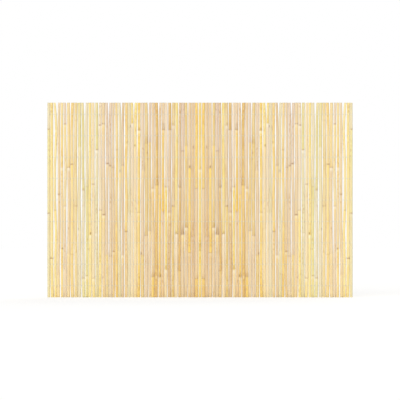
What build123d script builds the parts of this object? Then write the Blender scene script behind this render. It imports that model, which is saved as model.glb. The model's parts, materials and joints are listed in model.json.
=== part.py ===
from build123d import *

import os
import random
from dataclasses import dataclass
from math import pi, sqrt, tan

# Cane slat fence. Thin bamboo canes stand side by side, butt end down, cut to one height and bound by
# rows of galvanised wire. The two halves mirror each other about a middle cane.
# Millimetres, +Z up, +X along the fence, -Y towards the viewer. The origin is on the ground, under the
# middle of the fence.

# Driving dimensions
FENCE_HEIGHT = 1000.0
BUTT_DIAMETER_MIDDLE = 16.0  # a cane's thickness at the ground, in the middle of the fence
BUTT_DIAMETER_EDGE = 15.0  # and at the two ends of the fence
BUTT_DIAMETER_SPREAD = 2.0  # how much thicker or thinner than that a single cane may be
CANE_TAPER = 1.5  # diameter that a cane loses from its butt to its tip
CANE_GAP_MIDDLE = 0.4  # air between the node ridges of two butts, in the middle of the fence
CANE_GAP_EDGE = 1.6  # and at the two ends of the fence
NODE_RIDGE = 0.4  # how far the ring at a node stands out of the cane's skin
NODE_REACH = 6.0  # from the crest of that ring to where it has run out
WIRE_DIAMETER = 1.2
WIRE_END_MARGIN = 60.0  # from a cut end of the canes to the first row of wire
WIRE_CLEARANCE = 0.1  # between the wire and the canes that it holds

# Counts, and shares of the dimensions above
CANE_PAIRS = 45  # canes to each side of the middle one
CANE_SIDES = 8  # flats on a cane's section, one of them against the front run of the wire
WIRE_ROWS = 9
NODES_PER_CANE = 2
BAYS_BETWEEN_NODES = 4  # a bay is the stretch of cane between two rows of wire
NODE_BAY_SHARES = (0.25, 0.75)  # lowest and highest place of a node in its bay, clear of the wires
GAP_SHARES = (0.2, 2.4, 0.4)  # narrowest, widest and commonest gap, of the mean gap at that place
CROOK_SHARE = 0.8  # of half the gap beside a cane: how far it may bend aside at a node
GROWTH_SEED = 11  # settles how the canes differ from each other

# Worked out from the dimensions
WIRE_SPACING = (FENCE_HEIGHT - 2 * WIRE_END_MARGIN) / (WIRE_ROWS - 1)
FLAT_TURN = 180 / CANE_SIDES  # turns the section so that flats face front, back and both sides
GIRTH_SHARE = pi / (CANE_SIDES * tan(pi / CANE_SIDES))  # of the diameter: flats so far apart keep the girth
CORNER_SHARE = (1 - tan(pi / CANE_SIDES)) / 2  # of that distance: what the section cuts off a square's corner
MITRE = 2 - sqrt(2)  # how much longer a 45 degree corner grows for each unit of offset


def between(butt_value, tip_value, height):
    """A size or place at some height of a straight cane, from its values at the butt and the tip."""
    return butt_value + (tip_value - butt_value) * height / FENCE_HEIGHT


@dataclass
class Cane:
    """One cane: where its two ends stand, how thick they are, and the bend aside at each of its nodes."""

    butt_place: float
    tip_place: float
    butt: float
    tip: float
    crooks: dict

    def across_flats(self, height):
        """Thickness of the flat-sided section that goes round as far as the round cane does."""
        return GIRTH_SHARE * between(self.butt, self.tip, height)

    def stations(self):
        """Height, sideways place, thickness and ridge of each section, from butt to tip."""
        sections = [(0.0, self.butt_place, self.across_flats(0.0), 0.0)]
        for node, crook in self.crooks.items():
            sideways = between(self.butt_place, self.tip_place, node) + crook
            for step, ridge in ((-NODE_REACH, 0.0), (0.0, NODE_RIDGE), (NODE_REACH, 0.0)):
                sections.append((node + step, sideways, self.across_flats(node + step), ridge))
        sections.append((FENCE_HEIGHT, self.tip_place, self.across_flats(FENCE_HEIGHT), 0.0))
        return sections


def set_out(diameters, gaps):
    """Sideways places of canes that stand side by side, from the middle of the fence outwards."""
    places = [0.0]
    for inner, outer, gap in zip(diameters, diameters[1:], gaps):
        places.append(places[-1] + inner / 2 + NODE_RIDGE + gap + NODE_RIDGE + outer / 2)
    return places


def grow_canes():
    """The middle cane and the canes of one half, from the middle of the fence to its end."""
    growth = random.Random(GROWTH_SEED)
    outward = [number / CANE_PAIRS for number in range(CANE_PAIRS + 1)]
    butt_step = BUTT_DIAMETER_EDGE - BUTT_DIAMETER_MIDDLE
    gap_step = CANE_GAP_EDGE - CANE_GAP_MIDDLE
    butts = [BUTT_DIAMETER_MIDDLE + butt_step * share for share in outward]
    butts = [butt + BUTT_DIAMETER_SPREAD * growth.uniform(-1, 1) for butt in butts]
    butt_gaps = [CANE_GAP_MIDDLE + gap_step * share for share in outward[1:]]
    butt_gaps = [gap * growth.triangular(*GAP_SHARES) for gap in butt_gaps]
    # The taper of these canes frees room at the tips. It is shared out unevenly, so the canes lean a little,
    # and the end cane leans as much as keeps its outer flat upright, where the wire turns
    freed = CANE_TAPER * (CANE_PAIRS + GIRTH_SHARE / 2)
    shares = [growth.triangular(*GAP_SHARES) for gap in butt_gaps]
    tips = [butt - CANE_TAPER for butt in butts]
    tip_gaps = [gap + freed * share / sum(shares) for gap, share in zip(butt_gaps, shares)]
    butt_places = set_out(butts, butt_gaps)
    tip_places = set_out(tips, tip_gaps)
    canes = []
    for number in range(CANE_PAIRS + 1):
        first_bay = growth.randrange(BAYS_BETWEEN_NODES)
        crooks = {}
        for node in range(NODES_PER_CANE):
            bay = first_bay + BAYS_BETWEEN_NODES * node
            height = WIRE_END_MARGIN + WIRE_SPACING * (bay + growth.uniform(*NODE_BAY_SHARES))
            bend = CROOK_SHARE * growth.uniform(-1, 1)
            crooks[height] = 0.0
            if 0 < number < CANE_PAIRS:
                beside = [between(butt_gaps[side], tip_gaps[side], height) for side in (number - 1, number)]
                crooks[height] = bend * min(beside) / 2
        canes.append(Cane(butt_places[number], tip_places[number], butts[number], tips[number], crooks))
    return canes


canes = grow_canes()
end_cane = canes[-1]
thickest = max(canes, key=lambda cane: cane.butt)

# Every cane's front flat lies in this upright plane, and the lowest wire is centred on the origin
FRONT_FACE = -thickest.across_flats(WIRE_END_MARGIN) / 2

os.makedirs("parts", exist_ok=True)

# Canes: the middle one by itself, and each of the others with its twin in the other half
for number, cane in enumerate(canes):
    with BuildPart() as cane_solids:
        for height, sideways, thickness, ridge in cane.stations():
            with BuildSketch(Plane((sideways, FRONT_FACE + thickness / 2, height))):
                RegularPolygon(thickness / 2 + ridge, CANE_SIDES, major_radius=False, rotation=FLAT_TURN)
        loft(ruled=True)
        if number > 0:
            mirror(about=Plane.YZ)
    cane_solids.part.label = f"cane_pair_{number:02d}" if number > 0 else "cane_middle"
    export_step(cane_solids.part, f"parts/{cane_solids.part.label}.step")

# Binding wires: each row is a loop that runs along the front, round one end cane, along the back and
# round the other end cane
loop_length = 2 * (end_cane.butt_place + end_cane.across_flats(0.0) / 2 + WIRE_CLEARANCE + WIRE_DIAMETER)
for row in range(WIRE_ROWS):
    row_height = WIRE_END_MARGIN + WIRE_SPACING * row
    canes_depth = thickest.across_flats(row_height)
    loop_depth = canes_depth + 2 * (WIRE_CLEARANCE + WIRE_DIAMETER)
    loop_corner = CORNER_SHARE * end_cane.across_flats(row_height) + MITRE * WIRE_DIAMETER
    with BuildPart() as binding_wire:
        with BuildSketch(Plane.XY.offset(row_height - WIRE_DIAMETER / 2)) as loop:
            with Locations((0, FRONT_FACE + canes_depth / 2)):
                Rectangle(loop_length, loop_depth)
            chamfer(loop.vertices(), loop_corner)
            offset(amount=-WIRE_DIAMETER, kind=Kind.INTERSECTION, mode=Mode.SUBTRACT)
        extrude(amount=WIRE_DIAMETER)
    binding_wire.part.label = f"binding_wire_{row + 1}"
    export_step(binding_wire.part, f"parts/{binding_wire.part.label}.step")

leans = [abs(cane.tip_place - cane.butt_place) for cane in canes]
print("canes", 2 * CANE_PAIRS + 1, "length", round(loop_length, 1), "thickest", round(thickest.butt, 2))
print("largest lean", round(max(leans), 1))
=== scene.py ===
# %% [markdown]
# # A slat fence of bamboo canes
# The real object is a low garden fence. Its slats are whole thin bamboo canes, cut to one height, set side
# by side and bound by rows of galvanised wire. The loaded frame holds every cane and wire as a plain solid
# at its real size and place. This lesson models one cane, fits a copy of it over each plain cane,
# weaves the wires round them, and gives each surface the finish of the real material.

# %% Load the frame
import json
import math
import random

import bpy
import numpy as np
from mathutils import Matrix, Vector


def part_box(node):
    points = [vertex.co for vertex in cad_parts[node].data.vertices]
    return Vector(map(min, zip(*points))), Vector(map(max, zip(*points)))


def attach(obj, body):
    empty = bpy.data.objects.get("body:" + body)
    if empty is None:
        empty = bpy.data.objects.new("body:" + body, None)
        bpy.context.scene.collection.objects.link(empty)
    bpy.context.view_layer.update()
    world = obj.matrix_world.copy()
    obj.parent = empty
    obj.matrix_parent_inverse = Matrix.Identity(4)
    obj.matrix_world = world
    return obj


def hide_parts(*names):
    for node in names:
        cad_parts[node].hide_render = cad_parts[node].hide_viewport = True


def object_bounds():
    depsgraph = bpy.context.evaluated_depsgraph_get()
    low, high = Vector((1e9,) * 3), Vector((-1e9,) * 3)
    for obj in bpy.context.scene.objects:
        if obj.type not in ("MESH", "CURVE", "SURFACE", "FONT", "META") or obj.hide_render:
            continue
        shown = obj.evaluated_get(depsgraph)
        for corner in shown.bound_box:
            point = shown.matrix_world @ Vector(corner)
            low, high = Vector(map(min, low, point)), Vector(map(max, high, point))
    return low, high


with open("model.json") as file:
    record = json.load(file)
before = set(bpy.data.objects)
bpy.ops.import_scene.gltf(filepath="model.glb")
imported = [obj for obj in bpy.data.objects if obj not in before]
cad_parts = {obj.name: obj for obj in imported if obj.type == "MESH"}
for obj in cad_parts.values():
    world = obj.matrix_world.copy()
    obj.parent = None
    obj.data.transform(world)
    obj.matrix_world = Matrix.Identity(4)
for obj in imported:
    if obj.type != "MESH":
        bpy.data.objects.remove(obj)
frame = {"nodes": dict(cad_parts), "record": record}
cad_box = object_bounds()
cane_nodes = sorted(name for name in frame["nodes"] if name.startswith("cane_"))
wire_nodes = sorted(name for name in frame["nodes"] if name.startswith("binding_wire_"))
print("cane nodes", len(cane_nodes), "wire nodes", len(wire_nodes))

# %% [markdown]
# ## Where each cane stands
# A cane tapers, leans a little, and bends aside at its two nodes, the rings where leaves once grew. We could
# type those places in again, but the plain solids already hold them: each has an eight-sided section at the
# butt, below, on and above each node, and at the tip. Reading the sections back keeps our canes where the
# frame has them, whatever its sizes are. The eight flats go round as far as the round cane does, so the
# round cane's radius is a little more than half the distance between two flats.

# %% Read the sections of each cane
MM = 0.001
FLATS = 8
GIRTH_SHARE = math.pi / (FLATS * math.tan(math.pi / FLATS))
SAME_HEIGHT = 0.05 * MM
HEIGHT_DIGITS = 5


def read_sections(name):
    """Height, sideways place, depth and radius of each section of a right-hand cane, from its butt up."""
    corners = np.array([vertex.co for vertex in frame["nodes"][name].data.vertices])
    if name != "cane_middle":
        corners = corners[corners[:, 0] > 0]
    sections = []
    for height in np.unique(corners[:, 2].round(HEIGHT_DIGITS)):
        ring = corners[np.abs(corners[:, 2] - height) < SAME_HEIGHT]
        low = ring.min(axis=0)
        high = ring.max(axis=0)
        radius = (high[0] - low[0]) / 2 / GIRTH_SHARE
        sections.append((height, (low[0] + high[0]) / 2, (low[1] + high[1]) / 2, radius))
    return np.array(sections)


sections_of = {name: read_sections(name) for name in cane_nodes}
print("sections in each cane", {len(sections) for sections in sections_of.values()})

# %% [markdown]
# ## One cane, drawn as a profile
# A cane is round, so a profile spun about its axis gives the whole skin in one go. Boxes or a bare cylinder
# would miss what makes it bamboo: a thin sharp ring at each node where the leaf sheath broke off, a softer
# swelling just above it, and a narrow pith hole in the sawn ends. The profile starts on the axis inside the
# butt's pith hole, climbs the skin, and ends on the axis inside the tip's.

# %% Choose the profile's points
# Millimetres, and shares of the cane's radius
CANE_LENGTH = 1000.0
CANE_RADIUS = 6.5
MASTER_NODES = (300.0, 700.0)
INTERNODE_STEP = 32.0
PITH_DEPTH = 9.0
PITH_SHARE = 0.3
RIM_SHARE = 0.94
RIM_HEIGHT = 0.5
# Height from a node's crest, and share of the cane's radius there
NODE_SHAPE = [
    (-24.0, 1.0), (-12.0, 1.01), (-5.0, 1.026), (-1.6, 1.038), (-0.9, 1.058), (0.5, 1.058),
    (1.2, 1.03), (3.0, 1.022), (5.5, 1.042), (9.0, 1.034), (15.0, 1.01), (26.0, 1.0),
]


def evenly(low, high):
    """Points on a plain stretch of skin between two heights, without its ends."""
    count = math.ceil((high - low) / INTERNODE_STEP)
    return [(low + (high - low) * number / count, 1.0) for number in range(1, count)]


def skin_points():
    """Heights and radius shares up the skin, with even steps along the stretches between nodes."""
    points = [(RIM_HEIGHT, 1.0)]
    for node in MASTER_NODES:
        points += evenly(points[-1][0], node + NODE_SHAPE[0][0])
        points += [(node + step, share) for step, share in NODE_SHAPE]
    points += evenly(points[-1][0], CANE_LENGTH - RIM_HEIGHT)
    return points + [(CANE_LENGTH - RIM_HEIGHT, 1.0)]


pith_of_butt = [(PITH_DEPTH, 0.0), (PITH_DEPTH, PITH_SHARE), (0.0, PITH_SHARE), (0.0, RIM_SHARE)]
pith_of_tip = [(CANE_LENGTH - height, share) for height, share in reversed(pith_of_butt)]
profile = pith_of_butt + skin_points() + pith_of_tip
print("profile points", len(profile))

# %% [markdown]
# ## Spin the profile
# A plane merged to its centre leaves a single vertex. Extruding that vertex from point to point draws the
# profile, and Spin carries it round the axis. The first and last points lie on the axis, so their copies are
# merged into one point each, which closes the skin.

# %% Draw and spin the master cane
CANE_SIDES = 24
MERGE_DISTANCE = 0.001 * MM

bpy.ops.object.select_all(action="DESELECT")
bpy.ops.mesh.primitive_plane_add(size=MM)
master = bpy.context.object
master.name = "master_cane"
bpy.ops.object.mode_set(mode="EDIT")
bpy.ops.mesh.select_mode(type="VERT")
bpy.ops.mesh.select_all(action="SELECT")
bpy.ops.mesh.merge(type="CENTER")
drawn_to = (0.0, 0.0)
for number, (height, share) in enumerate(profile):
    point = (share * CANE_RADIUS, height)
    step = ((point[0] - drawn_to[0]) * MM, 0, (point[1] - drawn_to[1]) * MM)
    if number == 0:
        bpy.ops.transform.translate(value=step)
    else:
        bpy.ops.mesh.extrude_region_move(TRANSFORM_OT_translate={"value": step})
    drawn_to = point
bpy.ops.mesh.select_all(action="SELECT")
bpy.ops.mesh.spin(steps=CANE_SIDES, angle=2 * math.pi, center=(0, 0, 0), axis=(0, 0, 1))
bpy.ops.mesh.select_all(action="SELECT")
bpy.ops.mesh.remove_doubles(threshold=MERGE_DISTANCE)
bpy.ops.mesh.normals_make_consistent(inside=False)
bpy.ops.object.mode_set(mode="OBJECT")
print("master cane", len(master.data.vertices), "vertices", len(master.data.polygons), "faces")

# %% [markdown]
# ## Bud scars and grooves
# Above each ring sits the scar of a trimmed bud, on one side at the first node and on the other side at the
# second, as bamboo grows. A shallow groove runs up the cane from each bud, where the branch once pressed
# against it. Insetting an oval patch of faces on that side, raised and then sunk, gives the scar its low
# lip, and moving the one line of vertices above it inwards gives the groove.

# %% Say where the scars and grooves are
SCAR_MIDDLE = 7.0
SCAR_HALF_HEIGHT = 8.0
SCAR_HALF_ANGLE = math.radians(28)
GROOVE_HEIGHTS = (14.0, 190.0)
GROOVE_HALF_ANGLE = math.radians(5)

bud_sides = list(zip(MASTER_NODES, (1, -1)))


def aside(point, side):
    """Angle about the axis between a point and the +X or -X side of the master cane."""
    return math.atan2(point.y, point.x * side)


def from_scar(point, node, side):
    """Square of the distance from the middle of a bud scar, which is 1 on the scar's oval edge."""
    upwards = (point.z / MM - node - SCAR_MIDDLE) / SCAR_HALF_HEIGHT
    return upwards ** 2 + (aside(point, side) / SCAR_HALF_ANGLE) ** 2


def in_groove(point, node, side):
    """Whether a point lies on the line up the cane from a bud scar."""
    low, high = GROOVE_HEIGHTS
    return low < point.z / MM - node < high and abs(aside(point, side)) < GROOVE_HALF_ANGLE


print("nodes, and the side of the bud on each", bud_sides)

# %% Raise the bud scars and press in the grooves
SCAR_LIP = 0.25
SCAR_SLOPE = 0.6
GROOVE_DEPTH = 0.22


def pick(piece, kind, chosen):
    """Selects the faces or vertices whose place is chosen, and leaves the piece in edit mode."""
    bpy.ops.object.mode_set(mode="EDIT")
    bpy.ops.mesh.select_mode(type=kind)
    bpy.ops.mesh.select_all(action="DESELECT")
    bpy.ops.object.mode_set(mode="OBJECT")
    if kind == "FACE":
        for face in piece.data.polygons:
            face.select = chosen(face.center)
    else:
        for vertex in piece.data.vertices:
            vertex.select = chosen(vertex.co)
    bpy.ops.object.mode_set(mode="EDIT")


for node, side in bud_sides:
    pick(master, "VERT", lambda point: in_groove(point, node, side))
    bpy.ops.transform.translate(value=(-side * GROOVE_DEPTH * MM, 0, 0))
    pick(master, "FACE", lambda point: from_scar(point, node, side) < 1)
    bpy.ops.mesh.inset(thickness=SCAR_SLOPE * MM, depth=SCAR_LIP * MM)
    bpy.ops.mesh.inset(thickness=SCAR_SLOPE * MM, depth=-SCAR_LIP * MM)
    bpy.ops.object.mode_set(mode="OBJECT")
    print("faces on a bud scar", sum(face.select for face in master.data.polygons))

# %% [markdown]
# ## Paint the master cane
# The colour of bamboo follows its growth: the ring is orange-brown, a pale waxy bloom lies just below it,
# the bud scar is dark, and the sawn ends are cream. Below a node the skin stays fresh and yellow for a
# hand's width, and above one it is smudged brown, where rain ran down and lay behind the old sheath. These
# places move with the nodes, so they are painted on the master as attributes, as with vertex paint, and
# every copy carries them along. The stretch number of each vertex, counted from the butt, is kept too,
# because each stretch of a cane has a tone of its own.

# %% Work out where each colour lies
RING_REACH = 7.0
SCAR_DARKNESS = 1.4
# Heights over a node, in millimetres, where a colour starts, is strongest and ends
COLOUR_HEIGHTS = {
    "bloom": (-24.0, -7.0, -2.0),
    "fresh": (-100.0, -7.0, -2.0),
    "smudge": (-3.0, 4.0, 60.0),
}

master_points = np.array([vertex.co for vertex in master.data.vertices])
points = master_points / MM
stretch = np.zeros(len(points), dtype=int)
paint = {name: np.zeros(len(points)) for name in ("ring", "bloom", "fresh", "smudge", "scar", "sawn")}
for node, side in bud_sides:
    over = points[:, 2] - node
    stretch += over > 0
    paint["ring"] = np.maximum(paint["ring"], 1 - np.abs(over) / RING_REACH)
    for name, heights in COLOUR_HEIGHTS.items():
        paint[name] = np.maximum(paint[name], np.interp(over, heights, (0, 1, 0)))
    dark = [SCAR_DARKNESS * (1 - from_scar(vertex.co, node, side)) for vertex in master.data.vertices]
    paint["scar"] = np.maximum(paint["scar"], np.clip(dark, 0, 1))
# The ends are sawn everywhere inside their rims
radius_share = np.hypot(points[:, 0], points[:, 1]) / CANE_RADIUS
paint["sawn"][radius_share < (RIM_SHARE + 1) / 2] = 1
nearest_node = np.argmin([np.abs(points[:, 2] - node) for node in MASTER_NODES], axis=0)
print("mean of each colour", {name: round(float(values.mean()), 3) for name, values in paint.items()})

# %% Keep the colours on the master
SMOOTH_ANGLE = math.radians(50)


def store(piece, name, values):
    """Keeps one number for each vertex of a piece, for its material to read."""
    layer = piece.data.attributes.get(name) or piece.data.attributes.new(name, "FLOAT", "POINT")
    layer.data.foreach_set("value", np.asarray(values, dtype=np.float32))


def select_only(piece):
    """Selects one piece alone and makes it the active one, for the operators that follow."""
    bpy.ops.object.select_all(action="DESELECT")
    piece.select_set(True)
    bpy.context.view_layer.objects.active = piece


for name, values in paint.items():
    store(master, name, values)
select_only(master)
bpy.ops.object.shade_smooth_by_angle(angle=SMOOTH_ANGLE)
print("layers on the master", [name for name in paint if name in master.data.attributes])

# %% [markdown]
# ## Colours and a helper for nodes
# Colours are written as hex values, as a colour picker shows them, and turned to the linear values that the
# shader works in. One helper adds a node, with its settings and with each input either linked or set.

# %% Colour and node helpers


def colour(hex_text):
    """A hex colour as linear red, green, blue and alpha."""
    values = [int(hex_text[start:start + 2], 16) / 255 for start in (1, 3, 5)]
    linear = [v / 12.92 if v <= 0.04045 else ((v + 0.055) / 1.055) ** 2.4 for v in values]
    return (*linear, 1.0)


def add(tree, kind, inputs, **settings):
    """Adds a shader node. An input that is a socket is linked, and any other value is set."""
    made = tree.nodes.new("ShaderNode" + kind)
    for name, value in settings.items():
        setattr(made, name, value)
    for socket, value in inputs.items():
        if isinstance(value, bpy.types.NodeSocket):
            tree.links.new(value, made.inputs[socket])
        else:
            made.inputs[socket].default_value = value
    return made


def new_material(name):
    """An empty material with its output node."""
    material = bpy.data.materials.new(name)
    material.use_nodes = True
    material.node_tree.nodes.clear()
    return material, material.node_tree, material.node_tree.nodes.new("ShaderNodeOutputMaterial")


print("hex #EBD69C is", [round(v, 3) for v in colour("#EBD69C")])

# %% [markdown]
# ## Bamboo skin: patterns
# Dried bamboo has a hard waxy skin over straight fibres, and it is mottled, faded and spotted by weather.
# Each of these is a noise pattern drawn out along the cane, at the width and length it has on a real one.
# Only the fibres are drawn coarser: they are about 0.3 mm wide, too fine to show from a step away, so they
# are made 2 mm wide. The two halves of the fence are alike, so the patterns read the distance from its
# middle, and a cane and its twin match.

# %% Lay the patterns
# Width and length in millimetres
PATTERN_SIZES = {
    "fibre": (2.0, 160.0),
    "mottle": (10.0, 55.0),
    "weather": (30.0, 210.0),
    "stain": (7.0, 16.0),
}
PATTERN_DETAIL = 2.5


def skin_layers(tree):
    """What a skin is mixed from: the painted colours, the place on the fence, and the patterns."""
    layers = {}
    for name in ("tone", "sheath", *paint):
        layers[name] = add(tree, "Attribute", {}, attribute_name=name).outputs["Fac"]
    place = add(tree, "TexCoord", {}).outputs["Object"]
    split = add(tree, "SeparateXYZ", {0: place}).outputs
    outward = add(tree, "Math", {0: split["X"]}, operation="ABSOLUTE").outputs[0]
    mirrored = add(tree, "CombineXYZ", {"X": outward, "Y": split["Y"], "Z": split["Z"]}).outputs[0]
    layers["outward"] = outward
    layers["height"] = split["Z"]
    for name, (width, length) in PATTERN_SIZES.items():
        scale = (1 / (width * MM), 1 / (width * MM), 1 / (length * MM))
        drawn_out = add(tree, "Mapping", {"Vector": mirrored, "Scale": scale}).outputs[0]
        noise = add(tree, "TexNoise", {"Vector": drawn_out, "Scale": 1.0, "Detail": PATTERN_DETAIL})
        layers[name] = noise.outputs["Fac"]
    return layers


print("patterns", list(PATTERN_SIZES))

# %% [markdown]
# ## Bamboo skin: bare and under its sheath
# Bare skin is golden. A light and a deep tone are mixed by the stretch's own value, moved a little by the
# mottling. Sun and rain fade it in wide patches, more towards the top, and the canes at the ends of this
# fence are paler than those in its middle. Where the papery leaf sheath stayed on, the skin is duller, paler
# and ragged at the edges, and fibre streaks run over everything.

# %% Mix the bare skin
WEATHERED_COLOUR = colour("#EAD3A2")
PALE_COLOUR = colour("#FFF2C0")
# Sockets 1 and 2 hold the lowest and highest value of a layer, 3 and 4 what these turn into
TONE_SHIFT = {1: 0.3, 2: 0.7, 3: -0.8, 4: 0.8}
EXPOSURE = {1: 0.0, 2: 1.0, 3: 0.68, 4: 0.98}
FADING = {1: 0.42, 2: 0.66, 3: 0.0, 4: 0.6}
PALER_ENDS = {1: 0.15, 2: 0.7, 3: 0.0, 4: 0.35}


def bare_skin(tree, layers, light, deep):
    """The tone of each stretch, faded by weather and paler towards the ends of the fence."""
    moved = add(tree, "MapRange", {0: layers["mottle"], **TONE_SHIFT}).outputs[0]
    toned = add(tree, "Math", {0: layers["tone"], 1: moved}, operation="ADD", use_clamp=True).outputs[0]
    skin = add(tree, "Mix", {0: toned, 6: colour(light), 7: colour(deep)}, data_type="RGBA").outputs[2]
    exposed = add(tree, "MapRange", {0: layers["height"], **EXPOSURE}).outputs[0]
    faded = add(tree, "MapRange", {0: layers["weather"], **FADING}).outputs[0]
    faded = add(tree, "Math", {0: faded, 1: exposed}, operation="MULTIPLY").outputs[0]
    skin = add(tree, "Mix", {0: faded, 6: skin, 7: WEATHERED_COLOUR}, data_type="RGBA").outputs[2]
    paler = add(tree, "MapRange", {0: layers["outward"], **PALER_ENDS}).outputs[0]
    layers["exposed"] = exposed
    return add(tree, "Mix", {0: paler, 6: skin, 7: PALE_COLOUR}, data_type="RGBA").outputs[2]


print("the ends are paler by", PALER_ENDS[4], "from", PALER_ENDS[2], "m out")

# %% Cover it with sheath and fibres
RAGGED_EDGES = {1: 0.35, 2: 0.6, 3: 0.45, 4: 1.0}
FIBRE_STREAKS = {1: 0.25, 2: 0.75, 3: 0.9, 4: 1.06}


def sheathed_skin(tree, layers, skin, sheath):
    """Skin with what is left of the leaf sheath on it, and with fibre streaks over both."""
    ragged = add(tree, "MapRange", {0: layers["fibre"], **RAGGED_EDGES}).outputs[0]
    cover = add(tree, "Math", {0: layers["sheath"], 1: ragged}, operation="MULTIPLY").outputs[0]
    exposed = layers["exposed"]
    cover = add(tree, "Math", {0: cover, 1: exposed}, operation="MULTIPLY", use_clamp=True).outputs[0]
    skin = add(tree, "Mix", {0: cover, 6: skin, 7: colour(sheath)}, data_type="RGBA").outputs[2]
    streak = add(tree, "MapRange", {0: layers["fibre"], **FIBRE_STREAKS}).outputs[0]
    layers["ragged"] = ragged
    layers["cover"] = cover
    streaked = {0: 1.0, 6: skin, 7: streak}
    return add(tree, "Mix", streaked, data_type="RGBA", blend_type="MULTIPLY").outputs[2]


print("fibres shade the skin from", FIBRE_STREAKS[3], "to", FIBRE_STREAKS[4])

# %% [markdown]
# ## Bamboo skin: patches and marks
# Beside the nodes lie the fresh and the smudged patches, uneven along the cane, and the browner canes stand
# in the middle of this fence. Then come the marks of growth and weather from the painted layers, from the
# widest to the strongest: damp stains, bloom, the worn ring, the bud scar and the sawn end.

# %% Add the patches beside the nodes
FRESH_COLOUR = colour("#FFE184")
FRESH_SHARE = 0.6
SMUDGE_COLOUR = colour("#AE8445")
UNEVENNESS = {1: 0.38, 2: 0.6, 3: 0.15, 4: 1.0}
BROWNER_MIDDLE = {1: 0.1, 2: 0.35, 3: 0.95, 4: 0.12}


def patched_skin(tree, layers, skin):
    """Skin that is fresh and yellow below its nodes, and smudged brown above them."""
    kept = add(tree, "Math", {0: layers["fresh"], 1: FRESH_SHARE}, operation="MULTIPLY").outputs[0]
    skin = add(tree, "Mix", {0: kept, 6: skin, 7: FRESH_COLOUR}, data_type="RGBA").outputs[2]
    uneven = add(tree, "MapRange", {0: layers["mottle"], **UNEVENNESS}).outputs[0]
    browner = add(tree, "MapRange", {0: layers["outward"], **BROWNER_MIDDLE}).outputs[0]
    smudged = add(tree, "Math", {0: layers["smudge"], 1: uneven}, operation="MULTIPLY").outputs[0]
    smudged = add(tree, "Math", {0: smudged, 1: browner}, operation="MULTIPLY").outputs[0]
    return add(tree, "Mix", {0: smudged, 6: skin, 7: SMUDGE_COLOUR}, data_type="RGBA").outputs[2]


print("smudges show", BROWNER_MIDDLE[3], "in the middle and", BROWNER_MIDDLE[4], "at the ends")

# %% Add the marks of growth and weather
STAIN_COLOUR = colour("#BE8A45")
BLOOM_COLOUR = colour("#FCF3DF")
RING_COLOUR = colour("#A87538")
SCAR_COLOUR = colour("#9A6B34")
SAWN_COLOUR = colour("#EAD9B4")
DAMPNESS = {1: 0.36, 2: 0.46, 3: 1.0, 4: 0.0}
SPOTS = {1: 0.52, 2: 0.64, 3: 0.0, 4: 0.5}
RING_SHADE = {1: 0.2, 2: 0.9, 3: 0.0, 4: 0.85}
RING_WEAR = {1: 0.4, 2: 0.58, 3: 0.2, 4: 1.0}


def marked_skin(tree, layers, skin):
    """Skin with its stains, bloom, rings, bud scars and sawn ends."""
    damp = add(tree, "MapRange", {0: layers["weather"], **DAMPNESS}).outputs[0]
    spotted = add(tree, "MapRange", {0: layers["stain"], **SPOTS}).outputs[0]
    stained = add(tree, "Math", {0: damp, 1: spotted}, operation="MULTIPLY").outputs[0]
    ragged = layers["ragged"]
    dusty = add(tree, "Math", {0: layers["bloom"], 1: ragged}, operation="MULTIPLY").outputs[0]
    ringed = add(tree, "MapRange", {0: layers["ring"], **RING_SHADE}).outputs[0]
    worn = add(tree, "MapRange", {0: layers["stain"], **RING_WEAR}).outputs[0]
    ringed = add(tree, "Math", {0: ringed, 1: worn}, operation="MULTIPLY").outputs[0]
    marks = [
        (stained, STAIN_COLOUR), (dusty, BLOOM_COLOUR), (ringed, RING_COLOUR),
        (layers["scar"], SCAR_COLOUR), (layers["sawn"], SAWN_COLOUR),
    ]
    for share, mark_colour in marks:
        skin = add(tree, "Mix", {0: share, 6: skin, 7: mark_colour}, data_type="RGBA").outputs[2]
    layers["dusty"] = dusty
    return skin


print("a ring covers at most", RING_SHADE[4], "of the skin under it")

# %% [markdown]
# ## Bamboo skin: gloss
# The wax gives bare bamboo a soft gloss, while sheath, bloom and sawn wood are dull, and the fibres catch
# the light as fine ridges. Five skins with tones of their own, one for each material of the frame's record,
# keep the canes from looking alike.

# %% Make the bamboo skins
BAMBOO_IOR = 1.5
BARE_ROUGHNESS = 0.36
DULL_ROUGHNESS = 0.5
FIBRE_BUMP = 0.25
FIBRE_RELIEF = 0.2
# Light tone, deep tone and sheath
SKIN_TONES = {
    "bamboo_straw": ("#F9E492", "#F2D46C", "#EEDCC9"),
    "bamboo_gold": ("#F6D572", "#EAC05C", "#E6D0B8"),
    "bamboo_olive": ("#E6DA8E", "#D7C974", "#E9DCC6"),
    "bamboo_amber": ("#E8C472", "#D9AF60", "#DFC9B2"),
    "bamboo_blush": ("#ECD392", "#E2C276", "#E5CFBE"),
}


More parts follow.
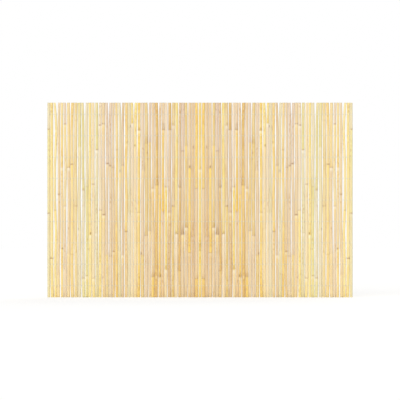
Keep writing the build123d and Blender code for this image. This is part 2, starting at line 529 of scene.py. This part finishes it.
def bamboo_skin(name, light, deep, sheath):
    """Dried bamboo: straight fibres under a waxy skin, dull where the leaf sheath stayed on."""
    material, tree, output = new_material(name)
    layers = skin_layers(tree)
    skin = bare_skin(tree, layers, light, deep)
    skin = sheathed_skin(tree, layers, skin, sheath)
    skin = patched_skin(tree, layers, skin)
    skin = marked_skin(tree, layers, skin)
    dull = add(tree, "Math", {0: layers["cover"], 1: layers["dusty"]}, operation="MAXIMUM").outputs[0]
    dull = add(tree, "Math", {0: dull, 1: layers["sawn"]}, operation="MAXIMUM").outputs[0]
    rough = add(tree, "MapRange", {0: dull, 3: BARE_ROUGHNESS, 4: DULL_ROUGHNESS}).outputs[0]
    ridges = {"Height": layers["fibre"], "Strength": FIBRE_BUMP, "Distance": FIBRE_RELIEF * MM}
    bump = add(tree, "Bump", ridges).outputs[0]
    waxy = {"Base Color": skin, "Roughness": rough, "IOR": BAMBOO_IOR, "Normal": bump}
    shader = add(tree, "BsdfPrincipled", waxy)
    tree.links.new(shader.outputs[0], output.inputs["Surface"])
    return material


skins = {name: bamboo_skin(name, *tones) for name, tones in SKIN_TONES.items()}
print("bamboo skins", sorted(skins), "nodes in one", len(skins["bamboo_straw"].node_tree.nodes))

# %% [markdown]
# ## How the canes bow and lean
# Between its nodes a cane bows a little, as grown wood does. Above the top wires and below the bottom ones
# little holds it, so the ends lean together in twos and threes, which leaves a slot beside each group. Each
# cane only uses the air beside it. A function gives the place and thickness of a cane at any height.

# %% Bow the canes
FENCE_SEED = 5
BOW = 0.25
STRETCHES = len(MASTER_NODES) + 1

growth = random.Random(FENCE_SEED)
bow_of = {}
for name in cane_nodes:
    bow_of[name] = [growth.uniform(-BOW, BOW) * MM for _ in range(STRETCHES)]
print("bows of the end cane", [round(bow / MM, 2) for bow in bow_of[cane_nodes[-1]]], "mm")

# %% Group the ends
END_GROUPS = (1, 2, 3, 3, 4)
END_CLOSING = 0.6


def air_between(across, radius):
    """Air between each cane and the next one, from the middle of the fence outwards."""
    return np.diff(across, axis=0) - radius[:-1] - radius[1:]


def close_groups(closings, sizes, chance):
    """How far each cane leans aside when groups of canes close their gaps by these distances."""
    room = np.concatenate([[0.0], np.cumsum(closings)])
    leans = []
    size = 1
    while len(leans) < len(cane_nodes):
        numbers = range(len(leans), min(len(leans) + size, len(cane_nodes)))
        # A group closes up about its middle, and the last one about the end cane, which stays upright
        centre = room[-1] if numbers[-1] == len(cane_nodes) - 1 else room[numbers].mean()
        leans += [centre - room[number] for number in numbers]
        size = chance.choice(sizes)
    return dict(zip(cane_nodes, leans))


def group_ends(end):
    """How far each cane leans aside at its butt, section 0, or at its tip, section -1."""
    height, across, depth, radius = np.array([sections_of[name][end] for name in cane_nodes]).T
    return close_groups(END_CLOSING * air_between(across, radius), END_GROUPS, growth)


tip_leans = group_ends(-1)
butt_leans = group_ends(0)
print("tips lean up to", round(max(map(abs, tip_leans.values())) / MM, 1), "mm")
print("butts lean up to", round(max(map(abs, butt_leans.values())) / MM, 1), "mm")

# %% Follow a bowed cane
SPLAY_LENGTH = 140.0
# Which of a cane's eight sections are on the crest of a node, and which on plain skin
NODE_SECTIONS = [2, 5]
SKIN_SECTIONS = [0, 1, 3, 4, 6, 7]


def bowed_axis(name, heights):
    """Sideways place, depth and radius of a bowed cane with leaning ends at one or more heights."""
    sections = sections_of[name]
    skin = sections[SKIN_SECTIONS]
    across, depth, radius = (np.interp(heights, skin[:, 0], skin[:, column]) for column in (1, 2, 3))
    ends = [sections[0, 0], *sections[NODE_SECTIONS, 0], sections[-1, 0]]
    for low, high, bow in zip(ends, ends[1:], bow_of[name]):
        across = across + bow * np.sin(math.pi * np.clip((heights - low) / (high - low), 0, 1))
    for end, lean in ((ends[-1], tip_leans[name]), (ends[0], butt_leans[name])):
        across = across + lean * np.clip(1 - np.abs(end - heights) / (SPLAY_LENGTH * MM), 0, 1) ** 2
    return across, depth, radius


butt_height = sections_of["cane_middle"][0, 0]
tip_height = sections_of["cane_middle"][-1, 0]
half_way = bowed_axis("cane_middle", (butt_height + tip_height) / 2)
print("middle cane half way up", [round(float(value) / MM, 2) for value in half_way], "mm")

# %% [markdown]
# ## How the canes wander
# The wires give a little, so canes draw together further down as well, in other groups than at their ends,
# and the slots between them open and close along the height. Straight gaps would look like a comb. The canes
# are grouped anew at a few heights, and each group closes a share of the air that is left between its canes,
# so no two of them meet. The wires are woven later round the canes as they stand now.

# %% Let the canes wander between their ends
WANDER_SEED = 1
WANDER_GROUPS = (2, 3, 3, 4)
# Share of a gap that closes, in the middle and at the ends of the fence
WANDER_CLOSING = (0.42, 0.68)
WANDER_STEPS = 6
TESTED_HEIGHTS = 120
# Air that two canes keep between them, as much as their node rings need
LEAST_AIR = 0.3

wandering = random.Random(WANDER_SEED)
wander_heights = np.linspace(butt_height, tip_height, WANDER_STEPS + 1)
tested = np.linspace(butt_height, tip_height, TESTED_HEIGHTS + 1)
bowed = np.array([bowed_axis(name, tested) for name in cane_nodes])
air = air_between(bowed[:, 0], bowed[:, 2])
closing = np.linspace(*WANDER_CLOSING, len(cane_nodes) - 1)
wander_of = {name: [0.0] for name in cane_nodes}
for low, high in zip(wander_heights, wander_heights[2:]):
    # The narrowest gap anywhere near this height is all that two canes may close
    near = (tested >= low) & (tested <= high)
    closable = np.clip(air[:, near].min(axis=1) - LEAST_AIR * MM, 0, None)
    for name, lean in close_groups(closing * closable, WANDER_GROUPS, wandering).items():
        wander_of[name].append(lean)
for name in cane_nodes:
    wander_of[name].append(0.0)


def axis_at(name, heights):
    """Sideways place, depth and radius of a cane at one or more heights, with its wandering."""
    across, depth, radius = bowed_axis(name, heights)
    return across + np.interp(heights, wander_heights, wander_of[name]), depth, radius


widest = max(np.abs(leans).max() for leans in wander_of.values())
print("canes wander up to", round(widest / MM, 1), "mm")

# %% [markdown]
# ## Fit a copy to each cane
# Every cane differs in thickness, lean and the heights of its nodes. Scaling a whole copy would stretch its
# rings as well, so the copy is fitted in two steps: the plain stretches between nodes are drawn out or
# shortened while the zone round each node keeps its size, and then each vertex is set round the cane's own
# bent axis at its own thickness. The copy is turned about its axis so that no two canes show the same side.

# %% Fit the master to a cane
NODE_ZONE = 30.0


def fixed_heights(butt, nodes, tip):
    """Heights that the fitting sets: both ends, and below and above the zone round each node."""
    return [butt, *(node + step * NODE_ZONE * MM for node in nodes for step in (-1, 1)), tip]


master_heights = fixed_heights(0.0, [node * MM for node in MASTER_NODES], CANE_LENGTH * MM)


def fit_points(name, turn):
    """The master's vertices set round one cane's own axis."""
    sections = sections_of[name]
    cane_heights = fixed_heights(sections[0, 0], sections[NODE_SECTIONS, 0], sections[-1, 0])
    heights = np.interp(master_points[:, 2], master_heights, cane_heights)
    across, depth, radius = axis_at(name, heights)
    swell = radius / (CANE_RADIUS * MM)
    turned_x = master_points[:, 0] * math.cos(turn) - master_points[:, 1] * math.sin(turn)
    turned_y = master_points[:, 0] * math.sin(turn) + master_points[:, 1] * math.cos(turn)
    return np.column_stack([across + swell * turned_x, depth + swell * turned_y, heights])


print("set heights of the master", [round(height / MM) for height in master_heights], "mm")

# %% [markdown]
# ## Colour and mirror the copies
# No two stretches of bamboo age alike, so each gets a tone and perhaps some sheath of its own, and each node
# shows its ring, bloom, scar and patches more or less strongly. Seeded chance decides, so the fence is the
# same in every run. A Mirror modifier then makes the twin in the other half of the fence, because the two
# halves are alike.

# %% Give a copy its own colours
TONE_RANGE = (0.0, 1.0)
SHEATH_CHANCE = 0.45
SHEATH_RANGE = (0.55, 1.0)
# How strongly a node's own marks may show, from faint to full
MARK_RANGES = {"ring": (-0.1, 1.0), "bloom": (-0.4, 1.0), "scar": (-0.3, 0.9)}
# The same for the patches beside a node, which are drawn by a chance of their own
PATCH_RANGES = {"fresh": (-0.3, 1.0), "smudge": (-0.5, 1.0)}
PATCH_SEED = 7

patching = random.Random(PATCH_SEED)


def colour_copy(piece):
    """Draws a copy's tone and sheath for each stretch, and the strength of the marks at each node."""
    tones = np.array([growth.uniform(*TONE_RANGE) for _ in range(STRETCHES)])
    sheaths = []
    for _ in range(STRETCHES):
        cover = growth.uniform(*SHEATH_RANGE)
        sheaths.append(cover * (growth.random() < SHEATH_CHANCE))
    store(piece, "tone", tones[stretch])
    store(piece, "sheath", np.array(sheaths)[stretch])
    for ranges, chance in ((MARK_RANGES, growth), (PATCH_RANGES, patching)):
        for mark, (faint, full) in ranges.items():
            strengths = np.clip([chance.uniform(faint, full) for _ in MASTER_NODES], 0, 1)
            store(piece, mark, paint[mark] * strengths[nearest_node])


print("marks and patches that differ from node to node", [*MARK_RANGES, *PATCH_RANGES])

# %% Make the canes
slot_of = {row["node"]: row["material_slot"] for row in frame["record"]["subparts"]}


def face_outwards():
    """Turns the faces of the active piece outwards."""
    bpy.ops.object.mode_set(mode="EDIT")
    bpy.ops.mesh.select_all(action="SELECT")
    bpy.ops.mesh.normals_make_consistent(inside=False)
    bpy.ops.object.mode_set(mode="OBJECT")


def make_canes(name):
    """The canes of one node: a fitted copy of the master and, outside the middle, its mirrored twin."""
    select_only(master)
    bpy.ops.object.duplicate(linked=False)
    piece = bpy.context.object
    piece.name = name.replace("cane", "bamboo")
    fitted = fit_points(name, growth.uniform(0, 2 * math.pi))
    piece.data.vertices.foreach_set("co", fitted.astype(np.float32).ravel())
    colour_copy(piece)
    if name != "cane_middle":
        bpy.ops.object.modifier_add(type="MIRROR")
        twin = piece.modifiers[-1]
        twin.use_mirror_merge = False
        bpy.ops.object.modifier_apply(modifier=twin.name)
    face_outwards()
    piece.data.materials.append(skins[slot_of[name]])
    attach(piece, "root")
    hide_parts(name)
    return piece


def triangles(piece):
    """How many triangles a piece's faces come to."""
    return sum(len(face.vertices) - 2 for face in piece.data.polygons)


canes = [make_canes(name) for name in cane_nodes]
bpy.data.objects.remove(master)
print("cane pieces", len(canes), "triangles in a pair", triangles(canes[-1]))

# %% [markdown]
# ## Galvanised wire
# Zinc-coated steel wire is light grey and metallic, and dulls in the open air. Fine mottling of its
# roughness and shade gives the zinc its cloudy look.

# %% Make the zinc finish
ZINC_COLOUR = colour("#EAEBE7")
ZINC_SPANGLE = 3.0
ZINC_DETAIL = 2.0
SPANGLE_ROUGHNESS = {1: 0.3, 2: 0.7, 3: 0.38, 4: 0.6}
SPANGLE_SHADE = {1: 0.3, 2: 0.7, 3: 0.9, 4: 1.0}

galvanised, tree, output = new_material("galvanised_steel")
place = add(tree, "TexCoord", {}).outputs["Object"]
clouds = {"Vector": place, "Scale": 1 / (ZINC_SPANGLE * MM), "Detail": ZINC_DETAIL}
spangle = add(tree, "TexNoise", clouds).outputs["Fac"]
rough = add(tree, "MapRange", {0: spangle, **SPANGLE_ROUGHNESS}).outputs[0]
shade = add(tree, "MapRange", {0: spangle, **SPANGLE_SHADE}).outputs[0]
clouded = {0: 1.0, 6: ZINC_COLOUR, 7: shade}
zinc = add(tree, "Mix", clouded, data_type="RGBA", blend_type="MULTIPLY").outputs[2]
shader = add(tree, "BsdfPrincipled", {"Base Color": zinc, "Metallic": 1.0, "Roughness": rough})
tree.links.new(shader.outputs[0], output.inputs["Surface"])
print("finish", galvanised.name)

# %% [markdown]
# ## Routes of the binding wires
# In each row one wire runs along the fence, passing now in front of a cane and now behind it, turns round
# the end cane and comes back on the other sides, so the two runs cross in every gap and grip each cane. A
# straight bar would miss that weave. The route is worked out from the canes at the row's height: an arc
# round half of each cane, and a crossing between canes, with one run over the other. The two ends of the
# wire are twisted together and folded flat behind the second cane.

# %% Lay out a run along the fence
ARC_ANGLES = [math.radians(angle) for angle in (155, 123, 90, 57, 25)]


def canes_at(height):
    """Sideways place, depth and radius of every cane at a height, from left to right."""
    found = []
    for name in cane_nodes:
        across, depth, radius = axis_at(name, height)
        found.append((across, depth, radius))
        if across > radius:
            found.append((-across, depth, radius))
    return sorted(found)


def wire_run(stand, height, wire_radius, side, lift):
    """Points of one run along the fence, from the outer side of the first cane to round the last one."""
    heading = 1 if stand[-1][0] > stand[0][0] else -1
    across, depth, radius = stand[0]
    points = [(across - heading * (radius + wire_radius), depth, height)]
    for number, (across, depth, radius) in enumerate(stand):
        reach = radius + wire_radius
        for angle in ARC_ANGLES:
            along = across + heading * reach * math.cos(angle)
            points.append((along, depth + side * reach * math.sin(angle), height))
        side = -side
        if number + 1 < len(stand):
            next_across, next_depth, next_radius = stand[number + 1]
            middle = (across + heading * radius + next_across - heading * next_radius) / 2
            points.append((middle, (depth + next_depth) / 2, height + lift))
    return points


print("canes along a wire", len(canes_at((butt_height + tip_height) / 2)))

# %% Twist the ends together
# How far the twisted ends reach from their start, in millimetres
TAIL_STEP = (6.0, 0.6, -15.0)
TAIL_TURNS = 3
TAIL_POINTS = 30


def twisted_ends(start, wire_radius):
    """Two strands twisted round each other, from a point on the back run of a wire."""
    axis = Vector(TAIL_STEP) * MM
    beside = axis.orthogonal().normalized()
    around = axis.normalized().cross(beside)
    strands = []
    for phase in (0, math.pi):
        strand = []
        for number in range(TAIL_POINTS + 1):
            share = number / TAIL_POINTS
            angle = phase + 2 * math.pi * TAIL_TURNS * share
            swing = wire_radius * (math.cos(angle) * beside + math.sin(angle) * around)
            strand.append(Vector(start) + axis * share + swing)
        strands.append(strand)
    return strands


print("twisted ends are", round(Vector(TAIL_STEP).length, 1), "mm long, with", TAIL_TURNS, "turns")

# %% [markdown]
# ## Weave the wires
# A curve that is given a thickness and made a mesh is the usual way to model wire. Each row is one closed
# curve and two short ones for its twisted ends, at the height and thickness of the frame's plain loop.

# %% Turn a route into wire
WIRE_BEVEL_STEPS = 1


def wire_piece(name, lines, wire_radius):
    """A round wire along some lines of points, of which the first is closed, as a mesh piece."""
    curve = bpy.data.curves.new(name, "CURVE")
    curve.dimensions = "3D"
    curve.bevel_depth = wire_radius
    curve.bevel_resolution = WIRE_BEVEL_STEPS
    curve.use_fill_caps = True
    for line in lines:
        route = curve.splines.new("POLY")
        route.points.add(len(line) - 1)
        route.points.foreach_set("co", np.array([(*point, 1.0) for point in line]).ravel())
    curve.splines[0].use_cyclic_u = True
    piece = bpy.data.objects.new(name.replace("binding", "twisted"), curve)
    bpy.context.collection.objects.link(piece)
    select_only(piece)
    bpy.ops.object.convert(target="MESH")
    face_outwards()
    bpy.ops.object.shade_smooth()
    return piece


print("bevel steps of a wire", WIRE_BEVEL_STEPS)

# %% Weave the wires round the canes
# In radii of the wire: how far a run lifts where it crosses the other, and where the twisted ends start
CROSSING_LIFT = 1.05
TAIL_STAND_OFF = 3


def make_wire(name):
    """One closed wire woven round every cane at its row, with its twisted ends at the back."""
    low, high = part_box(name)
    height = (low[2] + high[2]) / 2
    wire_radius = (high[2] - low[2]) / 2
    stand = canes_at(height)
    lift = wire_radius * CROSSING_LIFT
    there = wire_run(stand, height, wire_radius, -1, lift)
    back_side = 1 if len(stand) % 2 else -1
    back = wire_run(stand[::-1], height, wire_radius, back_side, -lift)
    across, depth, radius = stand[1]
    tail_start = (across, depth + radius + TAIL_STAND_OFF * wire_radius, height)
    piece = wire_piece(name, [there + back, *twisted_ends(tail_start, wire_radius)], wire_radius)
    piece.data.materials.append(galvanised)
    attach(piece, "root")
    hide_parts(name)
    return piece


wires = [make_wire(name) for name in wire_nodes]
print("wires", len(wires), "triangles in one", triangles(wires[0]))

# %% [markdown]
# ## Floor
# The fence stands on a plain pale floor. A floor lit only by the lamps would show grey in the picture, and
# more light would bleach the canes. So part of what the camera, a reflection or glass sees of it is plain
# white, while the rest is matt and keeps the fence's soft shadow.

# %% Set the floor
FLOOR_SIZE = 60.0
FLOOR_COLOUR = colour("#F2F1EE")
WHITE = colour("#FFFFFF")
# Share and strength of plain white in what the camera sees
FLOOR_WHITE = 0.5
FLOOR_GLOW = 1.3


def looked_at(tree):
    """A socket that is 1 where the camera, a reflection or glass looks, and 0 where light is gathered."""
    seen = add(tree, "LightPath", {}).outputs
    direct = {0: seen["Is Camera Ray"], 1: seen["Is Glossy Ray"]}
    shown = add(tree, "Math", direct, operation="MAXIMUM").outputs[0]
    return add(tree, "Math", {0: shown, 1: seen["Is Transmission Ray"]}, operation="MAXIMUM").outputs[0]


bpy.ops.object.select_all(action="DESELECT")
bpy.ops.mesh.primitive_plane_add(size=FLOOR_SIZE)
floor = bpy.context.object
floor.name = "floor"
pale, tree, output = new_material("pale_floor")
matt = add(tree, "BsdfDiffuse", {"Color": FLOOR_COLOUR}).outputs[0]
white = add(tree, "Emission", {"Color": WHITE, "Strength": FLOOR_GLOW}).outputs[0]
share = add(tree, "Math", {0: looked_at(tree), 1: FLOOR_WHITE}, operation="MULTIPLY").outputs[0]
mixed = add(tree, "MixShader", {0: share, 1: matt, 2: white}).outputs[0]
tree.links.new(mixed, output.inputs["Surface"])
floor.data.materials.append(pale)
print("floor", FLOOR_SIZE, "m")

# %% [markdown]
# ## Background
# The photograph's background is white. The world shows white in the same way, where something looks at it,
# and gives the fence a softer level as light from all round, so pale canes don't clip to white.

# %% Set the background
WORLD_LIGHT = 0.51

world = bpy.data.worlds.new("studio")
bpy.context.scene.world = world
world.use_nodes = True
tree = world.node_tree
tree.nodes.clear()
level = add(tree, "MapRange", {0: looked_at(tree), 3: WORLD_LIGHT, 4: 1.0}).outputs[0]
backdrop = add(tree, "Background", {"Color": WHITE, "Strength": level}).outputs[0]
tree.links.new(backdrop, tree.nodes.new("ShaderNodeOutputWorld").inputs["Surface"])
print("background light", WORLD_LIGHT)

# %% [markdown]
# ## Lamps
# In a studio a long fence is lit by large softboxes. A near lamp would leave the ends darker than the
# middle, so both lamps here are far away, which keeps their light even, and as wide in the sky as a large
# softbox, which keeps it soft. One stands in front and a weaker one behind.

# %% Hang the lamps
LAMP_WIDTH = math.radians(35)
# Bearing from the front and height in degrees, and strength
LAMPS = {"front_lamp": (-15.0, 20.0, 1.62), "back_lamp": (165.0, 28.0, 1.0)}

for name, (bearing, upward, strength) in LAMPS.items():
    turn = (math.radians(90 - upward), 0, math.radians(bearing))
    bpy.ops.object.light_add(type="SUN", rotation=turn)
    lamp = bpy.context.object
    lamp.name = name
    lamp.data.angle = LAMP_WIDTH
    lamp.data.energy = strength
    print(name, "shines", bearing, "degrees from the front,", upward, "degrees up")

# %% [markdown]
# ## Camera
# The photograph looks straight at the front, and the canes at its edges show no more of their sides than
# those in the middle. So the camera stands far away behind a long lens, level with the fence's middle, at
# the distance where the fence fills as much of the picture as it does in the photograph.

# %% Place the camera
PHOTO_PIXELS = 400
FENCE_PIXELS = 305.5
LENS = 400.0
SENSOR = 36.0

fence_width = float(cad_box[1][0] - cad_box[0][0])
fence_height = float(cad_box[1][2] - cad_box[0][2])
frame_width = fence_width * PHOTO_PIXELS / FENCE_PIXELS
distance = frame_width * LENS / SENSOR
bpy.ops.object.camera_add(location=(0, -distance, fence_height / 2), rotation=(math.pi / 2, 0, 0))
camera = bpy.context.object
camera.data.lens = LENS
camera.data.sensor_width = SENSOR
camera.data.clip_end = 2 * distance
bpy.context.scene.camera = camera
bpy.context.scene.view_settings.view_transform = "Standard"
print("camera distance", round(distance, 2), "m")
